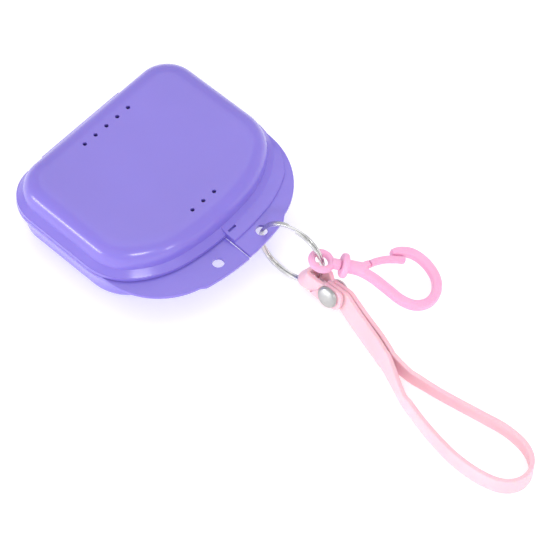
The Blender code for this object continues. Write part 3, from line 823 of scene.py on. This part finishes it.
def hook_eye(look):
    """A ring with a headed pin that turns in the hook's neck."""
    ring = []
    for k in range(72):
        turn = 2 * math.pi * k / 72
        out = Vector((math.cos(turn), math.sin(turn), 0))
        loop = []
        for n in range(24):
            angle = 2 * math.pi * n / 24
            loop.append(out * (EYE_R + EYE_WIRE_R * math.cos(angle))
                        + Vector((0, 0, 1.12 * EYE_WIRE_R * math.sin(angle))))
        ring.append(loop)
    shoulder = COLLAR_START - GAP
    pin = turned((0, 0, 0), (1, 0, 0), (
        (EYE_R, 1.9), (shoulder - 0.2, 1.9), (shoulder, 1.7), (shoulder, PIN_R),
        (PIN_END - 2.0, PIN_R), (PIN_END - 2.0, PIN_HEAD_R), (PIN_END - 1.2, PIN_HEAD_R),
        (PIN_END - 0.4, PIN_R * 0.7),
    ), 32)
    eye = blend_bodies("eye_moulding", ((ring, True), (pin, False)), 0.14, 5, look)
    settle(eye, sharp=70)
    return stand_for(eye, "eye", "hook_eye")


def hook_body(look):
    """Collar, neck and loop in one moulding, with a chambered bore for the eye's pin."""
    route = smooth_line(LOOP_ROUTE, 8)
    last = len(route) - 1
    widths = [HOOK_BAND - 1.6 * max(0.0, 1 - (last - i) / 14) ** 2 for i in range(len(route))]
    loop = flat_band(route, widths, HOOK_THICKNESS, 1.3)
    neck = turned((0, 0, 0), (1, 0, 0), (
        (COLLAR_START, COLLAR_R - 0.5), (COLLAR_START + 0.5, COLLAR_R),
        (COLLAR_END - 0.5, COLLAR_R), (COLLAR_END, COLLAR_R - 0.5),
        (COLLAR_END, NECK_R), (NECK_END, NECK_R), (NECK_END + 1.3, NECK_R - 0.9),
    ))
    root_line = smooth_line(GATE_ROOT_ROUTE, 4)
    root_widths = [GATE_BAND + 0.3] * len(root_line)
    root = flat_band(root_line, root_widths, HOOK_THICKNESS - 0.6, 0.8)
    parts = ((loop, False), (neck, False), (root, False))
    body = blend_bodies("hook_moulding", parts, 0.2, 7, look)
    bore = solid("pin_bore", placed(turned((0, 0, 0), (1, 0, 0), (
        (COLLAR_START - 1, PIN_R + GAP), (PIN_END - 2.3, PIN_R + GAP),
        (PIN_END - 2.3, PIN_HEAD_R + GAP), (PIN_END, PIN_HEAD_R + GAP),
    ))))
    cut(body, bore)
    settle(body, [bore], sharp=60)
    return stand_for(body, "hook", "hook_body")


def hook_gate(look):
    """The springy arm, with the small bump at its tip that catches under the loop's nose."""
    route = smooth_line(GATE_ROUTE, 8)
    last = len(route) - 1
    widths = []
    for i in range(len(route)):
        from_tip = (last - i) / last
        bump = 0.35 * math.exp(-((from_tip - 0.08) / 0.05) ** 2)
        widths.append(GATE_BAND - 0.5 * max(0.0, 1 - from_tip / 0.3) + bump)
    gate = solid("gate_arm", placed(flat_band(route, widths, HOOK_THICKNESS - 0.6, 0.8)), look)
    settle(gate, sharp=60)
    return stand_for(gate, "gate", "hook_gate")


# ---------------------------------------------------------------- strap and rivet


def leaning(along, lean):
    """The band's upward edge direction for a run along a direction, leant by some degrees."""
    along = along.normalized()
    side = Vector((-along.y, along.x, 0)).normalized()
    up = side.cross(along).normalized()
    if up.z < 0:
        up.negate()
    turn = math.radians(lean)
    return math.cos(turn) * up + math.sin(turn) * side


def facing_left(normal):
    """A unit normal turned, if need be, to the -X side."""
    return normal.normalized() * (1 if normal.x < 0 else -1)


def rivet_axes():
    """The strap's width direction and outer normal at the rivet."""
    width = leaning(RIVET_ALONG, RIVET_LEAN)
    return width, facing_left(width.cross(RIVET_ALONG))


def strap_path():
    """(middle, width direction) pairs along the band, from the short tab to the inner end."""
    rivet, along = RIVET_MIDDLE, RIVET_ALONG
    width, outward = rivet_axes()
    wire, _, _ = on_ring(STRAP_ANGLE)
    fold = wire - along * FOLD_BACK
    mouth = fold + along * FOLD_MOUTH
    fold_out = facing_left(Vector((0, 0, 1)).cross(along))
    path = [(rivet + along * reach + outward * LAYER, width) for reach in (5.2, 2.6, 0.0, -4.2)]
    path.append((mouth + fold_out * FOLD_POCKET, FOLD_WIDTH))
    for k in range(7):
        turn = math.pi * k / 6
        side = fold_out * math.cos(turn) - along * math.sin(turn)
        path.append((fold + side * FOLD_POCKET, FOLD_WIDTH))
    path.append((mouth - fold_out * FOLD_POCKET, FOLD_WIDTH))
    path += [(rivet + along * reach - outward * LAYER, width) for reach in (-4.2, 0.0, 2.6)]
    double = double_line()
    path += [(spot - face * LAYER / 2, edge) for spot, edge, face, _ in double]
    path += single_line()
    for spot, edge, face, splay in reversed(double):
        lean_out = face * STRAP_WIDTH / 2 * math.sin(splay)
        splayed = edge * math.cos(splay) - face * math.sin(splay)
        path.append((spot + face * LAYER / 2 + lean_out, splayed))
    path += [(rivet + along * reach, width) for reach in (2.6, 0.0, -2.9)]
    return path


def heading(line, i):
    """The direction of a line of points at one of them."""
    return line[min(i + 1, len(line) - 1)].to_3d() - line[max(i - 1, 0)].to_3d()


def double_line():
    """(middle, width direction, left face normal, left arm's extra lean) along the doubled run."""
    _, outward = rivet_axes()
    route = [Vector((*(RIVET_MIDDLE - outward * LAYER / 2 + RIVET_ALONG * 5.0), RIVET_LEAN, 0))]
    route += [Vector(p) for p in DOUBLE_ROUTE]
    line = smooth_line(route, 3)
    made = []
    for i, spot in enumerate(line):
        ahead = heading(line, i)
        edge = leaning(ahead, spot[3])
        made.append((spot.to_3d(), edge, facing_left(edge.cross(ahead)), math.radians(spot[4])))
    return made


def single_line():
    line = smooth_line(LOOP_BAND, 3)
    made = []
    for i, spot in enumerate(line):
        ahead = heading(line, i)
        made.append((spot.to_3d(), leaning(ahead, spot[3])))
    return made


def wrist_strap(look):
    """The band's stations joined by a smooth curve, with a round-edged section along it."""
    stations = smooth_line([(*spot, *edge) for spot, edge in strap_path()], 5)
    w, t = STRAP_WIDTH / 2, STRAP_THICKNESS / 2
    outline = round_corners([(-w, -t, STRAP_EDGE_R), (0, -t, 0), (w, -t, STRAP_EDGE_R),
                             (w, t, STRAP_EDGE_R), (0, t, 0), (-w, t, STRAP_EDGE_R)], 5)
    sections = []
    reach = 0.0
    for i, station in enumerate(stations):
        spot, edge = Vector(station[:3]), Vector(station[3:])
        before, after = stations[max(i - 1, 0)], stations[min(i + 1, len(stations) - 1)]
        along = (Vector(after[:3]) - Vector(before[:3])).normalized()
        edge = (edge - along * edge.dot(along)).normalized()
        face = along.cross(edge).normalized()
        if i:
            reach += (spot - Vector(stations[i - 1][:3])).length
        short = max(0.0, STRAP_END_R - reach)
        narrow = (w - STRAP_END_R + math.sqrt(STRAP_END_R ** 2 - short ** 2)) / w
        sections.append([spot + edge * a * narrow + face * b for a, b in outline])
    strap = solid("strap_band", sections, look)
    _, outward = rivet_axes()
    near, far = RIVET_MIDDLE - outward * 6, RIVET_MIDDLE + outward * 6
    hole = solid("rivet_hole", cylinder(near, far, RIVET_HOLE_R))
    cut(strap, hole)
    settle(strap, [hole], sharp=50)
    return stand_for(strap, "strap", "wrist_strap")


def rivet_cap(look):
    """A shallow domed head with a rolled rim, on a solid post."""
    _, outward = rivet_axes()
    front = 1.5 * LAYER + GAP / 2
    dome = [(front + 0.45 + 0.75 * math.sin(t), (RIVET_CAP_R - 0.35) * math.cos(t))
            for t in [math.pi / 2 * k / 12 for k in range(12)]]
    profile = (
        (-front - 0.9, RIVET_POST_R - 0.3), (-front - 0.6, RIVET_POST_R), (front, RIVET_POST_R),
        (front, RIVET_CAP_R - 0.3), (front + 0.1, RIVET_CAP_R - 0.08), (front + 0.28, RIVET_CAP_R),
        (front + 0.44, RIVET_CAP_R - 0.1), (front + 0.5, RIVET_CAP_R - 0.25), *dome,
    )
    cap = solid("rivet_cap_dome", turned(RIVET_MIDDLE, outward, profile, 64), look)
    settle(cap, sharp=45)
    return stand_for(cap, "strap", "rivet_cap")


def rivet_back(look):
    """A washer with a rolled edge on the post's far end."""
    _, outward = rivet_axes()
    back = 1.5 * LAYER + GAP / 2
    profile = (
        (back, RIVET_POST_R + GAP), (back, 3.6), (back + 0.12, 3.82), (back + 0.35, 3.9),
        (back + 0.6, 3.82), (back + 0.8, 3.5), (back + 0.9, 3.1), (back + 0.9, 2.2),
        (back + 0.7, RIVET_POST_R + GAP),
    )
    loops = turned(RIVET_MIDDLE, -outward, profile, 64)
    washer = solid("rivet_washer_rolled", loops, look, closed=True)
    settle(washer, sharp=45)
    return stand_for(washer, "strap", "rivet_back")


# ---------------------------------------------------------------- stage


def floor():
    """A white sheet that glows a little, like a light table, so that the shadows stay faint."""
    low = (cad_box[0][2] - 0.0004) / MM
    reach = FLOOR_REACH / MM
    corners = [(-reach, -reach, low), (reach, -reach, low),
               (reach, reach, low), (-reach, reach, low)]
    made = Finish("floor_paper", 0.9, Emission_Strength=FLOOR_GLOW)
    grey, pale = (0.88, 0.88, 0.88), (0.90, 0.90, 0.90)
    made.colour(made.ramp(made.noise(0.02, 3.0), ((0.3, grey), (0.7, pale))))
    mesh_object("floor", corners, [(0, 1, 2, 3)], made.material)


def light(name, direction, distance, size, power):
    """A square soft light in a direction from the object's middle, facing it."""
    lamp = bpy.data.lights.new(name, "AREA")
    lamp.shape = "RECTANGLE"
    lamp.size, lamp.size_y = size
    lamp.energy = power
    made = bpy.data.objects.new(name, lamp)
    away = Vector(direction).normalized()
    made.location = CAMERA_TARGET + away * distance
    made.rotation_euler = away.to_track_quat("Z", "Y").to_euler()
    bpy.context.collection.objects.link(made)


def sky(strength):
    world = bpy.data.worlds.new("studio")
    world.use_nodes = True
    background = world.node_tree.nodes["Background"]
    background.inputs["Color"].default_value = (1.0, 1.0, 1.0, 1.0)
    background.inputs["Strength"].default_value = strength
    bpy.context.scene.world = world


def display():
    """Plain display transform, so that pale plastics keep their colour."""
    view = bpy.context.scene.view_settings
    view.view_transform = "Standard"
    view.look = "None"


def camera():
    data = bpy.data.cameras.new("camera")
    data.lens = CAMERA_LENS
    data.clip_end = 20.0
    turn, tilt = math.radians(CAMERA_AZIMUTH), math.radians(CAMERA_ELEVATION)
    away = Vector((math.sin(turn) * math.cos(tilt),
                   -math.cos(turn) * math.cos(tilt),
                   math.sin(tilt)))
    made = bpy.data.objects.new("camera", data)
    made.location = CAMERA_TARGET + away * VIEW_WIDTH * CAMERA_LENS / data.sensor_width
    made.rotation_euler = away.to_track_quat("Z", "Y").to_euler()
    bpy.context.collection.objects.link(made)
    bpy.context.scene.camera = made


display()
camera()
floor()
sky(0.82)
light("overhead", (0.25, 0.2, 1.0), 1.0, (1.0, 1.0), 2.6)
light("window", (-0.90, 0.42, 0.07), 0.9, (0.5, 0.12), 2.6)
light("panes", (-0.47, -0.68, 0.58), 0.9, (0.26, 0.09), 1.8)
light("side_pane", (-0.05, -0.95, 0.30), 0.9, (0.10, 0.16), 0.55)

case_base(violet_plastic("violet_base", 1.0))
case_lid(violet_plastic("violet_lid", 1.0))
mouthguard(guard_eva())
split_ring(nickel_steel("ring_nickel", 0.70, 0.22))
hook_eye(hook_plastic("eye_acetal", 0.97))
hook_body(hook_plastic("hook_acetal", 1.0))
hook_gate(hook_plastic("gate_acetal", 1.0))
wrist_strap(strap_silicone())
rivet_cap(nickel_steel("rivet_nickel", 0.50, 0.38))
rivet_back(nickel_steel("washer_nickel", 0.74, 0.34))
